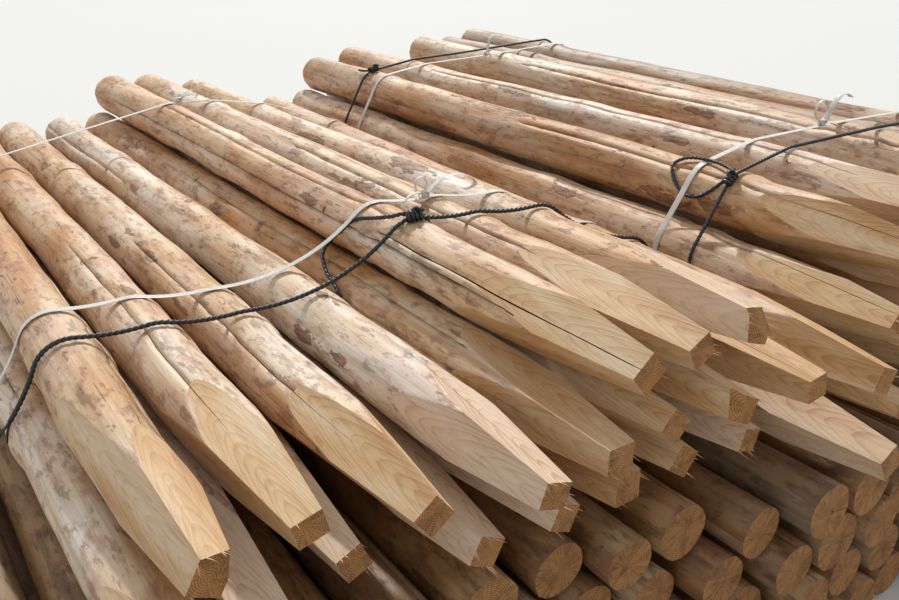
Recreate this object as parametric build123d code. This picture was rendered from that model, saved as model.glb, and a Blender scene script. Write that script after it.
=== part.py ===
from build123d import *
import math
import os

os.makedirs("parts", exist_ok=True)

# posts (mm)
post_length = 2500
point_length = 400
tip_half = 22
taper = 6
butt_chamfer = 16
rolled_gap = 0.4
stations = 26

# straps and ropes (mm)
strap_width = 15
strap_thick = 1.2
rope_diameter = 9
snug = 0.3
left_front_at = 725
left_back_at = 1890
right_front_at = 545
right_back_at = 1930
left_rope_at = 590
front_rope_at = 440
back_rope_at = 2015
strap_room = strap_thick + 2 * snug
rope_room = rope_diameter + 2 * snug
knot_length = 34
knot_height = 15
loop_radius = 31
tail_radius = 70
slack = 380
skew = -8

# lower bundle
course_pitch = 118
lower_courses = 4
lower_widest = 23
lower_left = -998


def spread(k):
    """even scatter between 0 and 1 for post number k"""
    v = math.sin(k * 12.9898 + 4.1) * 43758.5453
    return v - math.floor(v)


class Post:
    """one straight post: its axis runs from the near end (y0) to the far end (y1)"""

    def __init__(self, bundle, diameter, x_near, x_far, y_near=0, turned=False):
        self.bundle = bundle
        self.turned = turned
        self.x0 = x_near
        self.x1 = x_far
        self.y0 = y_near
        self.y1 = y_near + post_length
        half = taper / 4
        if turned:
            half = -half
        self.r0 = diameter / 2 - half
        self.r1 = diameter / 2 + half
        self.z0 = 0
        self.z1 = 0
        self.seed = 0

    def part(self, y):
        return (y - self.y0) / (self.y1 - self.y0)

    def x(self, y):
        return self.x0 + (self.x1 - self.x0) * self.part(y)

    def z(self, y):
        return self.z0 + (self.z1 - self.z0) * self.part(y)

    def round_radius(self, y):
        return self.r0 + (self.r1 - self.r0) * self.part(y)

    def reach(self, y):
        """outer radius at y, smaller along the sawn point"""
        full = self.round_radius(y)
        along = (self.y1 - y) if self.turned else (y - self.y0)
        if along >= point_length:
            return full
        side = tip_half + (full - tip_half) * along / point_length
        return min(full, side * 1.42)


def height_needed(post, y, below, floor):
    radius = post.reach(y)
    x = post.x(y)
    height = floor + radius
    for other in below:
        if y < other.y0 or y > other.y1:
            continue
        apart = radius + other.reach(y) + rolled_gap
        side = x - other.x(y)
        if abs(side) < apart:
            height = max(height, other.z(y) + math.sqrt(apart * apart - side * side))
    return height


def rest(post, below, floor):
    """lay the post as a beam on the two places that carry it"""
    step = (post.y1 - post.y0) / (stations - 1)
    ys = [post.y0 + step * k for k in range(stations)]
    heights = [height_needed(post, y, below, floor) for y in ys]
    centre = post.y0 + post_length * (0.46 if post.turned else 0.54)
    best = None
    for i in range(stations):
        if ys[i] > centre:
            break
        for j in range(stations - 1, i, -1):
            if ys[j] <= centre:
                break
            slope = (heights[j] - heights[i]) / (ys[j] - ys[i])
            middle = heights[i] + slope * (centre - ys[i])
            if best is None or middle > best[0]:
                best = (middle, slope)
    middle, slope = best
    post.z0 = middle + slope * (post.y0 - centre)
    post.z1 = middle + slope * (post.y1 - centre)
    return middle


def settle(post, posts, floor=0, roll=30):
    """let the post roll up to the given distance into the lowest hollow"""
    below = [p for p in posts if min(abs(p.x0 - post.x0), abs(p.x1 - post.x1)) < 320]
    want0 = post.x0
    want1 = post.x1
    best = rest(post, below, floor)
    step = 12
    while step > 1:
        moved = False
        for a, b in ((1, 1), (-1, -1), (1, 0), (-1, 0), (0, 1), (0, -1)):
            old0 = post.x0
            old1 = post.x1
            new0 = old0 + a * step
            new1 = old1 + b * step
            if abs(new0 - want0) > roll or abs(new1 - want1) > roll:
                continue
            post.x0 = new0
            post.x1 = new1
            middle = rest(post, below, floor)
            if middle < best - 0.001:
                best = middle
                moved = True
            else:
                post.x0 = old0
                post.x1 = old1
        if not moved:
            step = step / 2
    rest(post, below, floor)
    return post


def hull_points(circles):
    """corners of the taut outline round the circles, anticlockwise: x, z, circle number"""
    points = []
    for k, (x, z, r) in enumerate(circles):
        for a in range(0, 360, 4):
            t = math.radians(a)
            points.append((x + r * math.cos(t), z + r * math.sin(t), k))
    points.sort()

    def turn(o, a, b):
        return (a[0] - o[0]) * (b[1] - o[1]) - (a[1] - o[1]) * (b[0] - o[0])

    lower_side = []
    for p in points:
        while len(lower_side) > 1 and turn(lower_side[-2], lower_side[-1], p) <= 0:
            lower_side.pop()
        lower_side.append(p)
    upper_side = []
    for p in reversed(points):
        while len(upper_side) > 1 and turn(upper_side[-2], upper_side[-1], p) <= 0:
            upper_side.pop()
        upper_side.append(p)
    return lower_side[:-1] + upper_side[:-1]


def hull_order(circles):
    order = []
    for p in hull_points(circles):
        if not order or order[-1] != p[2]:
            order.append(p[2])
    if len(order) > 1 and order[0] == order[-1]:
        order.pop()
    return [circles[k] for k in order]


def crossings(points, z):
    found = []
    for k in range(len(points)):
        x0, z0, _ = points[k - 1]
        x1, z1, _ = points[k]
        if (z0 - z) * (z1 - z) < 0:
            found.append(x0 + (x1 - x0) * (z - z0) / (z1 - z0))
    return found


def stand_beside(bundle, other, room):
    """slide the bundle sideways until it stands clear of the other one"""
    first = max(min(p.y0 for p in g) for g in (bundle, other)) + point_length
    last = min(max(p.y1 for p in g) for g in (bundle, other)) - 20
    wants = []
    for k in range(13):
        y = first + (last - first) * k / 12
        mine = hull_points([(p.x(y), p.z(y), p.round_radius(y)) for p in bundle])
        theirs = hull_points([(p.x(y), p.z(y), p.round_radius(y)) for p in other])
        shift = -10000
        for step in range(1, 80):
            z = lower_crown + step * 5
            left_edges = crossings(mine, z)
            right_edges = crossings(theirs, z)
            if left_edges and right_edges:
                shift = max(shift, max(right_edges) + room - min(left_edges))
        wants.append((y, shift))
    centre = (first + last) / 2
    best = None
    for ya, sa in wants:
        for yb, sb in wants:
            if ya < centre <= yb:
                slope = (sb - sa) / (yb - ya)
                middle = sa + slope * (centre - ya)
                if best is None or middle > best[0]:
                    best = (middle, slope)
    middle, slope = best
    for p in bundle:
        p.x0 += middle + slope * (p.y0 - centre)
        p.x1 += middle + slope * (p.y1 - centre)


def lower_onto(bundle, under, bindings):
    """bring the whole bundle down until two places along it carry it"""
    first = min(p.y0 for p in bundle)
    last = max(p.y1 for p in bundle)
    ys = [first + (last - first) * k / 60 for k in range(61)]
    ys = sorted(ys + [y for y, room in bindings])
    heights = []
    for y in ys:
        lift = -10000
        tops = []
        for p in bundle:
            if y < p.y0 or y > p.y1:
                continue
            for q in under:
                if y < q.y0 or y > q.y1:
                    continue
                side = p.x(y) - q.x(y)
                apart = p.reach(y) + q.reach(y) + rolled_gap
                if abs(side) < apart:
                    lift = max(lift, q.z(y) + math.sqrt(apart * apart - side * side) - p.z(y))
        for at, room in bindings:
            if at == y:
                low = min(p.z(y) - p.reach(y) for p in bundle)
                left_end = min(p.x(y) for p in bundle)
                right_end = max(p.x(y) for p in bundle)
                for q in under:
                    if left_end < q.x(y) < right_end:
                        lift = max(lift, q.z(y) + q.reach(y) + room - low)
        heights.append(lift)
    centre = (first + last) / 2
    best = None
    for i in range(len(ys)):
        for j in range(i + 1, len(ys)):
            if ys[i] <= centre < ys[j]:
                slope = (heights[j] - heights[i]) / (ys[j] - ys[i])
                middle = heights[i] + slope * (centre - ys[i])
                if best is None or middle > best[0]:
                    best = (middle, slope)
    middle, slope = best
    for p in bundle:
        p.z0 += middle + slope * (p.y0 - centre)
        p.z1 += middle + slope * (p.y1 - centre)


def solid_post(post):
    """sawn four-sided point, tapered round body, butt chamfered or plain"""
    near = Vector(post.x0, post.y0, post.z0)
    far = Vector(post.x1, post.y1, post.z1)
    tip = far if post.turned else near
    butt = near if post.turned else far
    tip_radius = post.r1 if post.turned else post.r0
    butt_radius = post.r0 if post.turned else post.r1
    long = (butt - tip).length
    body = Cone(tip_radius, butt_radius, long, align=(Align.CENTER, Align.CENTER, Align.MIN))
    if not post.turned:
        edge = body.edges().sort_by(Axis.Z)[-1]
        body = chamfer(edge, butt_chamfer)
    s = post.seed
    sides = []
    for k in range(4):
        start = point_length * (0.82 + 0.34 * spread(s * 7 + k))
        half = tip_half * (0.86 + 0.28 * spread(s * 11 + k))
        sides.append((half, half + (tip_radius - half) * long / start))
    left, right, low, high = sides
    ends = []
    for k in range(2):
        wide = left[k] + right[k]
        tall = low[k] + high[k]
        middle = ((right[k] - left[k]) / 2, (high[k] - low[k]) / 2)
        ends.append(Plane.XY.offset(long * k) * Pos(middle[0], middle[1]) * Rectangle(wide, tall))
    point = loft(ends, ruled=True)
    solid = body & point
    turn = 90 * spread(s * 5 + 3)
    place = Plane(origin=tip, x_dir=(1, 0, 0), z_dir=(butt - tip).normalized())
    return place.location * Rot(0, 0, turn) * solid


def sections(posts, y, away, turn):
    """circles of the posts in a plane through station y, turned about the vertical"""
    lean = math.tan(math.radians(turn))
    wider = 1 / math.cos(math.radians(turn))
    found = []
    for p in posts:
        at = y + lean * p.x(y)
        at = y + lean * p.x(at)
        found.append((p.x(at) * wider, p.z(at), p.round_radius(at) * wider + away))
    return found


def wrap(posts, at, away, loose=0, turn=0):
    """loop round the posts at a station, the given distance off them, in its own plane: taut, or
    sagging between posts as far as a ball of the loose radius sinks between them"""
    circles = sections(posts, at, away, turn)
    y = 0
    if loose:
        return sagging(circles, y, loose)
    around = hull_order(circles)
    count = len(around)
    touch = []
    for k in range(count):
        x0, z0, r0 = around[k]
        x1, z1, r1 = around[(k + 1) % count]
        span = math.hypot(x1 - x0, z1 - z0)
        ux = (x1 - x0) / span
        uz = (z1 - z0) / span
        c = (r0 - r1) / span
        s = math.sqrt(1 - c * c)
        nx = ux * c + uz * s
        nz = uz * c - ux * s
        touch.append(((x0 + r0 * nx, z0 + r0 * nz), (x1 + r1 * nx, z1 + r1 * nz)))
    edges = []
    for k in range(count):
        add_contact(edges, around[k], touch[k - 1][1], touch[k][0], y)
        end = touch[k][0]
        far = touch[k][1]
        edges.append(Line((end[0], y, end[1]), (far[0], y, far[1])))
    return edges


def add_contact(edges, circle, start, end, y):
    """the stretch of the loop that lies on one post"""
    x, z, r = circle
    a0 = math.atan2(start[1] - z, start[0] - x)
    a1 = math.atan2(end[1] - z, end[0] - x)
    while a1 < a0:
        a1 += 2 * math.pi
    mid = (a0 + a1) / 2
    if a1 - a0 > 0.002:
        half = (x + r * math.cos(mid), y, z + r * math.sin(mid))
        edges.append(ThreePointArc((start[0], y, start[1]), half, (end[0], y, end[1])))


def ball_on(a, b, ball):
    """centre of a ball that lies on circles a and b, on the right of the way from a to b"""
    x0, z0, r0 = a
    x1, z1, r1 = b
    span = math.hypot(x1 - x0, z1 - z0)
    d0 = r0 + ball
    d1 = r1 + ball
    if span >= d0 + d1:
        return None
    along = (span * span + d0 * d0 - d1 * d1) / (2 * span)
    off = math.sqrt(d0 * d0 - along * along)
    ux = (x1 - x0) / span
    uz = (z1 - z0) / span
    return x0 + ux * along + uz * off, z0 + uz * along - ux * off


def sagging(circles, y, ball):
    """roll a ball round the posts, counter-clockwise, and keep the line that it cannot enter"""
    first = min(circles, key=lambda c: c[1] - c[2])
    now = first
    angle = -math.pi / 2
    steps = []
    while True:
        best = None
        for other in circles:
            if other is now:
                continue
            centre = ball_on(now, other, ball)
            if centre is None:
                continue
            turn = (math.atan2(centre[1] - now[1], centre[0] - now[0]) - angle) % (2 * math.pi)
            if turn > 1e-9 and (best is None or turn < best[0]):
                best = (turn, other, centre)
        turn, other, centre = best
        steps.append((now, other, centre))
        now = other
        angle = math.atan2(centre[1] - now[1], centre[0] - now[0])
        if steps[0][0] is now and len(steps) > 2:
            break
    touch = []
    for a, b, centre in steps:
        ends = []
        for x, z, r in (a, b):
            share = r / (r + ball)
            ends.append((x + (centre[0] - x) * share, z + (centre[1] - z) * share))
        touch.append((ends[0], ends[1], centre))
    edges = []
    for k in range(len(steps)):
        start, end, centre = touch[k]
        add_contact(edges, steps[k][0], touch[k - 1][1], start, y)
        mx = (start[0] + end[0]) / 2 - centre[0]
        mz = (start[1] + end[1]) / 2 - centre[1]
        far = ball / math.hypot(mx, mz)
        low = (centre[0] + mx * far, y, centre[1] + mz * far)
        edges.append(ThreePointArc((start[0], y, start[1]), low, (end[0], y, end[1])))
    return edges


def top_at(edges, x):
    """height and slope of a loop over the stack at x"""
    best = None
    for edge in edges:
        for k in range(41):
            p = edge @ (k / 40)
            far = abs(p.X - x)
            if far < 12 and (best is None or p.Z - 2 * far > best[0]):
                d = edge % (k / 40)
                best = (p.Z - 2 * far, p.Z, math.degrees(math.atan2(d.Z, d.X)))
    slope = best[2]
    if slope > 90:
        slope -= 180
    if slope < -90:
        slope += 180
    return best[1], slope


def in_place(solid, at, turn):
    return Pos(0, at, 0) * Rot(0, 0, turn) * solid


def strap_band(posts, at, loose, turn):
    outer = Face(Wire(wrap(posts, at, snug + strap_thick, loose - strap_thick if loose else 0, turn)))
    inner = Face(Wire(wrap(posts, at, snug, loose, turn)))
    ring = outer - inner
    lean = math.radians(turn)
    along_posts = (math.sin(lean), math.cos(lean), 0)
    return extrude(ring.faces()[0], strap_width / 2, dir=along_posts, both=True)


def curl(radius, start, end, wide):
    """strip of strap bent to an arc in the XZ plane, centre at the origin"""
    inside = radius - strap_thick
    a0 = math.radians(start)
    a1 = math.radians(end)
    am = (a0 + a1) / 2

    def at(r, a):
        return (r * math.cos(a), 0, r * math.sin(a))

    edges = [ThreePointArc(at(radius, a0), at(radius, am), at(radius, a1)),
             Line(at(radius, a1), at(inside, a1)),
             ThreePointArc(at(inside, a1), at(inside, am), at(inside, a0)),
             Line(at(inside, a0), at(radius, a0))]
    return extrude(Face(Wire(edges)), wide / 2, dir=(0, 1, 0), both=True)


def strap_knot():
    """tightened knot, lying along X with its underside at z = 0"""
    body = Box(knot_length, strap_width * 1.35, knot_height, align=(Align.CENTER, Align.CENTER, Align.MIN))
    body = fillet(body.edges(), knot_height * 0.42)
    turn = Pos(0, 0, knot_height / 2) * Rot(0, 90, 24) * Torus(knot_height * 0.52, knot_height * 0.2)
    return body + turn


def knotted_strap(posts, at, knot_x, tails, loose=0, turn=0):
    """strap loop with its knot and the free tails: start angle, end angle, radius, width of each"""
    band = strap_band(posts, at, loose, turn)
    height, slope = top_at(wrap(posts, at, snug, loose, turn), knot_x)
    place = Pos(knot_x, 0, height) * Rot(0, -slope, 0)
    solid = band + place * strap_knot()
    for start, end, radius, wide, side in tails:
        a0 = math.radians(start)
        shift = Pos(-radius * math.cos(a0), side, knot_height * 0.6 - radius * math.sin(a0))
        solid = solid + place * shift * curl(radius, start, end, wide)
    return in_place(solid, at, turn)


def rope_knot():
    """tightened rope knot with its underside at z = 0"""
    d = rope_diameter
    solid = Pos(0, 0, d * 1.36) * Rot(0, 90, 23) * Torus(d * 0.8, d / 2)
    solid = solid + Pos(d * 0.72, 0, d * 1.36) * Rot(0, 90, -17) * Torus(d * 0.8, d / 2)
    solid = solid + Pos(d * 0.3, d * 0.2, d * 1.5) * Rot(70, 0, 30) * Torus(d * 0.95, d / 2)
    return solid


def rope_along(edges):
    path = Wire(edges)
    section = Plane(origin=path @ 0, z_dir=path % 0) * Circle(rope_diameter / 2)
    return sweep(section, path=path)


def knotted_rope(posts, at, knot_x):
    """closed rope loop with its knot"""
    loop = rope_along(wrap(posts, at, snug + rope_diameter / 2))
    height, slope = top_at(wrap(posts, at, snug), knot_x)
    solid = loop + Pos(knot_x, 0, height) * Rot(0, -slope, 0) * rope_knot()
    return in_place(solid, at, 0)


def open_rope(posts, at, knot_x, left_end, right_end, loose, turn):
    """rope over the crown only, cut off at the given heights on either side"""
    edges = wrap(posts, at, snug + rope_diameter / 2, loose - rope_diameter / 2, turn)
    middle = sum(p.x(at) for p in posts) / len(posts)
    keep = []
    for edge in edges:
        centre = edge @ 0.5
        lowest = right_end if centre.X > middle else left_end
        keep.append(centre.Z > lowest)
    first = [k for k in range(len(edges)) if keep[k] and not keep[k - 1]][0]
    run = []
    k = first
    while keep[k % len(edges)]:
        run.append(edges[k % len(edges)])
        k += 1
    height, slope = top_at(wrap(posts, at, snug, loose, turn), knot_x)
    solid = rope_along(run) + Pos(knot_x, 0, height) * Rot(0, -slope, 0) * rope_knot()
    return in_place(solid, at, turn)


def write(solids, name):
    export_step(Compound(children=list(solids)), "parts/" + name + ".step")


# lower bundle, butts towards the front
lower = []
for course in range(lower_courses):
    for k in range(lower_widest - course):
        number = len(lower) + 1
        x = lower_left + course_pitch * (k + course / 2)
        wide = 96 + 17 * spread(number)
        shift = 50 - 150 * min(1, max(0, (x + 100) / 500)) + 40 * (spread(number + 50) - 0.5)
        post = Post("lower", wide, x, x + 8 * (spread(number + 90) - 0.5), shift, True)
        lower.append(settle(post, lower, 0, 20))
lower_crown = max(p.z((p.y0 + p.y1) / 2) for p in lower)

# upper left bundle, points towards the front
# each entry: diameter, x at the point, x at the butt, y of the point
left_courses = (
    ((114, -665, -680, -90), (116, -545, -540, 40), (118, -412, -392, 110), (118, -255, -245, 30),
     (118, -126, -122, 20), (118, 0, 0, 20), (118, 122, 122, 20), (118, 243, 243, 0),
     (118, 380, 470, -170), (118, 560, 620, -90)),
    ((122, -600, -555, 80), (124, -482, -425, 95), (120, -328, -318, 40), (120, -190, -182, -30),
     (120, -64, -62, -20), (118, 70, 61, -5), (118, 186, 183, -30), (118, 310, 350, -60),
     (122, 470, 545, -90)),
    ((126, 0, 5, 0), (122, 125, 133, 15), (122, 270, 258, 0)),
)
left = []
for course in left_courses:
    for wide, x_near, x_far, shift in course:
        post = Post("left", wide, x_near, x_far, shift)
        left.append(settle(post, left, 0, 30))
lower_onto(left, lower, [(left_front_at, strap_room), (left_back_at, strap_room)])

# upper right bundle
right_courses = (
    ((120, 770, 830, 0), (120, 900, 950, 0), (120, 1030, 1075, 0), (120, 1160, 1200, 0),
     (120, 1290, 1330, 0), (120, 1420, 1450, 0), (120, 1545, 1560, 0)),
    ((122, 710, 765, -20), (120, 905, 905, 0), (120, 1030, 1030, 0), (120, 1195, 1195, 0),
     (120, 1325, 1325, 0), (120, 1480, 1480, 0), (120, 1600, 1600, 0)),
    ((132, 805, 830, 0), (128, 968, 968, 0), (126, 1260, 1260, 0), (120, 1410, 1410, 0),
     (120, 1540, 1540, 0)),
)
right = []
for course in right_courses:
    for wide, x_near, x_far, shift in course:
        post = Post("right", wide, x_near, x_far, shift)
        right.append(settle(post, right, 0, 30))
lower_onto(right, lower, [(right_front_at, strap_room), (right_back_at, strap_room),
                          (front_rope_at, rope_room), (back_rope_at, rope_room)])

stand_beside(right, left, 2 * rope_room)
lower_onto(right, lower, [(right_front_at, strap_room), (right_back_at, strap_room),
                          (front_rope_at, rope_room), (back_rope_at, rope_room)])

for k, post in enumerate(lower + left + right):
    post.seed = k + 1


straps = [
    knotted_strap(left, left_front_at, 110, ((-80, -10, 60, strap_width, 0),), slack, skew),
    knotted_strap(left, left_back_at, 30, ((-85, 5, 45, 8, 0),)),
    knotted_strap(right, right_front_at, 1180, ((-90, 20, tail_radius, strap_width, 5),
                                                (-80, 250, loop_radius, 5, -6))),
    knotted_strap(right, right_back_at, 1190, ((-75, 15, tail_radius, strap_width, 0),)),
]
second_course = left[len(left_courses[0]) + 1].z0
ropes = [
    open_rope(left, left_rope_at, 0, second_course - 130, second_course - 90, slack, skew),
    knotted_rope(right, front_rope_at, 712),
    knotted_rope(right, back_rope_at, 770),
]

groups = {
    "lower_posts": [solid_post(p) for p in lower],
    "left_posts": [solid_post(p) for p in left],
    "right_posts": [solid_post(p) for p in right],
    "white_straps": straps,
    "black_ropes": ropes,
}

# the stack stands on the floor with its middle at the origin
whole = Compound(children=[s.moved(Location()) for solids in groups.values() for s in solids])
box = whole.bounding_box()
home = Location((-(box.min.X + box.max.X) / 2, -(box.min.Y + box.max.Y) / 2, -box.min.Z))
for name, solids in groups.items():
    write([s.moved(home) for s in solids], name)
    print(name, len(solids), "pieces")
print("size", box.size)
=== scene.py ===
import bpy
import bmesh
import math
import random
import numpy as np
from mathutils import Matrix, Vector, noise


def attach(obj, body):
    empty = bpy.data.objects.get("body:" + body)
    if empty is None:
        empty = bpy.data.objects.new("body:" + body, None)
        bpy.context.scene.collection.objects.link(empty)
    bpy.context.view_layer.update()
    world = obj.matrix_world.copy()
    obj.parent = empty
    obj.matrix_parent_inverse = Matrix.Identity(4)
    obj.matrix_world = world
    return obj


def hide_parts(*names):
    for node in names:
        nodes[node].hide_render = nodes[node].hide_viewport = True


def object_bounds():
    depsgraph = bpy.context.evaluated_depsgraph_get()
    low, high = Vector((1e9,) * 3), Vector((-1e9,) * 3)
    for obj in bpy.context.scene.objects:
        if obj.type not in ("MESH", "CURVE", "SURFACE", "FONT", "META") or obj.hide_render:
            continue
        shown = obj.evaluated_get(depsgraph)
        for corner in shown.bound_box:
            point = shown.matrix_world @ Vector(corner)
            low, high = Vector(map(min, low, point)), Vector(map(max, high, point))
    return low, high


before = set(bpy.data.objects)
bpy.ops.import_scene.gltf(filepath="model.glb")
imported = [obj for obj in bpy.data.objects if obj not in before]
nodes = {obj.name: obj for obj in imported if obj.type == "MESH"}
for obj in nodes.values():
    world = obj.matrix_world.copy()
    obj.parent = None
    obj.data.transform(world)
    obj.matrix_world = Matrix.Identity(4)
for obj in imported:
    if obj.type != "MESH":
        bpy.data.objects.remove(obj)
cadBox = [list(corner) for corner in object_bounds()]
print("frame loaded:", sorted(nodes))

# everything a user would change about the posts, lengths in metres
posts = {
    "columns": {"left_posts": 60, "right_posts": 54, "lower_posts": 28},
    "stationStep": {"left_posts": 0.035, "right_posts": 0.040, "lower_posts": 0.13},
    "pointStep": {"left_posts": 0.026, "right_posts": 0.032, "lower_posts": 0.07},
    "chamfer": 0.016,
    "buttRings": (0.72, 0.46, 0.2),  # rings of points on the butt's face, as shares of its radius
    "crooked": 0.0040,         # how far the centre line strays between the bindings
    "wander": 0.0052,          # how far the round body falls back between the whorls
    "dent": 0.0017,            # small unevenness left by the peeler
    "oval": 0.0014,            # how much less one diameter is than the other
    "whorlReach": 0.075,       # how far from a whorl the body stays thick
    "boundReach": 0.045,       # the same under a strap or rope, where the body keeps its full round
    "knotRise": 0.0022,
    "barkRise": 0.0012,
    "checksPerPost": (2, 4),   # drying cracks
    "checkWidth": (0.0014, 0.0040),
    "checkDepth": (0.010, 0.022),
    "checkLength": (0.35, 1.5),
    "checkTaper": 0.12,        # how far from its end a crack is still closing
    "checkDrift": (0.007, 0.0016),  # slow and quick wandering of a crack round the post
    "knotWhorl": 0.46,         # distance between whorls of branches
    "knotSize": (0.006, 0.013),
    "pithOff": 0.012,          # how far the pith lies off the middle
}

# cracks wide and deep enough to run on through the sawn point: post, angle round it, start, end, width, depth;
# posts are counted from the lowest up, and angles go from the left side over the top
bigChecks = {
    "left_posts": [(21, 0.33, 0.20, 2.3, 0.0046, 0.030), (21, 0.62, -0.1, 0.66, 0.0046, 0.050),
                   (21, 1.30, 0.62, 1.9, 0.0050, 0.024), (21, 2.1, -0.1, 0.5, 0.0042, 0.040),
                   (19, 1.05, 0.30, 1.3, 0.0046, 0.024), (20, 1.75, -0.1, 0.7, 0.0044, 0.034),
                   (18, 1.2, -0.1, 0.9, 0.0040, 0.034), (15, 1.0, 0.3, 1.6, 0.0030, 0.018),
                   (14, 1.7, -0.1, 0.5, 0.0040, 0.034), (13, 1.3, 0.1, 1.1, 0.0030, 0.018)],
    "right_posts": [(14, 0.9, -0.1, 1.2, 0.0060, 0.036), (18, 1.2, 0.2, 1.9, 0.0046, 0.026),
                    (17, 0.8, 0.1, 1.8, 0.0040, 0.024), (7, 1.3, -0.1, 1.0, 0.0042, 0.034)],
    "lower_posts": [],
}

# splintered ends: small planes that break the corners off, each as its normal and distance from the point's middle
brokenTips = {
    ("left_posts", 20): [((0.45, 0.35, -0.82), 0.001), ((-0.30, 0.62, -0.72), -0.006), ((-0.55, -0.2, -0.8), 0.004)],
    ("right_posts", 14): [((0.2, 0.75, -0.63), -0.012), ((-0.5, 0.2, -0.84), -0.002), ((0.6, -0.1, -0.79), 0.002)],
    ("left_posts", 17): [((0.5, 0.5, -0.7), 0.006)], ("left_posts", 12): [((-0.6, 0.4, -0.7), 0.008)],
    ("right_posts", 7): [((0.4, 0.6, -0.7), 0.006)],
}

splinters = {"perPost": (4, 11), "long": (0.004, 0.022), "thick": (0.0005, 0.0018)}

# bark and bast that the peeler left: post, angle round it, distance from the point, half length, half width
barkPatches = {
    "left_posts": [
        (10, 1.06, 1.09, 0.045, 0.016), (10, 0.40, 1.21, 0.060, 0.014), (10, 0.95, 1.00, 0.060, 0.015),
        (10, 1.15, 1.17, 0.030, 0.010), (10, 0.45, 0.78, 0.050, 0.010), (14, 0.13, 0.60, 0.045, 0.016),
        (14, 0.20, 0.48, 0.040, 0.014), (14, 0.75, 1.60, 0.035, 0.012), (14, 1.60, 0.62, 0.030, 0.014),
        (14, 1.92, 0.75, 0.020, 0.008), (15, 0.46, 1.31, 0.050, 0.020), (15, 0.77, 1.09, 0.018, 0.014),
        (15, 1.20, 0.35, 0.050, 0.008), (21, 0.55, 0.92, 0.050, 0.015), (21, 0.80, 0.84, 0.055, 0.006),
        (19, 0.58, 0.97, 0.110, 0.028), (19, 1.30, 1.36, 0.050, 0.012), (20, 1.35, 1.01, 0.120, 0.030),
        (20, 0.80, 1.45, 0.090, 0.020), (13, 1.77, 0.74, 0.050, 0.018), (13, 0.75, 0.72, 0.016, 0.009),
        (13, 0.86, 0.80, 0.016, 0.009), (13, 2.25, 0.55, 0.060, 0.016), (12, 1.3, 0.55, 0.030, 0.010),
        (20, 1.20, 0.21, 0.022, 0.012), (18, 1.1, 1.10, 0.070, 0.016), (18, 1.5, 0.62, 0.030, 0.012),
        (11, 1.2, 1.6, 0.090, 0.022), (15, 0.9, 2.05, 0.100, 0.026), (10, 0.9, 1.9, 0.080, 0.016),
        (21, 1.2, 1.7, 0.040, 0.010), (16, 1.0, 1.2, 0.050, 0.016), (17, 1.4, 0.9, 0.050, 0.016)],
    "right_posts": [
        (14, 0.46, 0.26, 0.070, 0.022), (14, 0.35, 0.17, 0.045, 0.020), (14, 0.27, 0.12, 0.050, 0.014),
        (14, -0.30, 0.60, 0.130, 0.026), (14, -0.10, 0.47, 0.070, 0.020), (14, 1.48, 1.33, 0.170, 0.018),
        (14, 0.8, 0.78, 0.040, 0.010), (18, 1.0, 1.45, 0.160, 0.018), (18, 0.6, 0.75, 0.060, 0.014),
        (17, 0.4, 0.95, 0.060, 0.014), (17, 1.2, 0.5, 0.040, 0.012), (7, 0.9, 0.9, 0.060, 0.016),
        (15, 1.0, 1.2, 0.060, 0.014), (16, 1.2, 0.7, 0.080, 0.018), (8, 1.3, 0.9, 0.060, 0.016)],
    "lower_posts": [],
}

# every loop: its bundle, the y where its plane crosses pivotX, the plane's turn in degrees and how far the loop
# sags between the posts, as the radius of a ball that could roll there
pivotX = -0.3175
strapLoops = [
    {"posts": "left_posts", "y": -0.4947, "turn": -8, "ball": 0.380},
    {"posts": "left_posts", "y": 0.6703, "turn": 0, "ball": 0},
    {"posts": "right_posts", "y": -0.6747, "turn": 0, "ball": 0},
    {"posts": "right_posts", "y": 0.7103, "turn": 0, "ball": 0},
]
ropeLoops = [
    {"posts": "left_posts", "y": -0.6297, "turn": -8, "ball": 0.375, "open": True},
    {"posts": "right_posts", "y": -0.7797, "turn": 0, "ball": 0},
    {"posts": "right_posts", "y": 0.7953, "turn": 0, "ball": 0},
]


def looseParts(node):
    # the pack splits a mesh at its sharp edges, so equal points are joined first
    mesh = node.data
    co = np.empty(len(mesh.vertices) * 3)
    mesh.vertices.foreach_get("co", co)
    mesh.calc_loop_triangles()
    tri = np.empty(len(mesh.loop_triangles) * 3, dtype=np.int32)
    mesh.loop_triangles.foreach_get("vertices", tri)
    points, same = np.unique(co.reshape(-1, 3).round(6), axis=0, return_inverse=True)
    tri = same.reshape(-1)[tri.reshape(-1, 3)]
    label = np.arange(len(points))
    while True:
        before = label.copy()
        low = label[tri].min(axis=1)
        for k in range(3):
            np.minimum.at(label, tri[:, k], low)
        label = label[label]
        if (label == before).all():
            break
    found = []
    for name in np.unique(label):
        mine = tri[label[tri[:, 0]] == name]
        used, local = np.unique(mine, return_inverse=True)
        found.append((points[used], local.reshape(-1, 3)))
    return found


# what tells the faces of a CAD post apart: the lean of their normals along the post, and how alike the faces of one
# flat and how far apart two flats are
reading = {"endSlice": 0.004, "roundLean": 0.03, "sawnLean": (-0.15, -0.055), "sameTurn": 0.99998, "sameHeight": 0.0006,
           "nextFlat": 0.6, "flats": 4}


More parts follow.
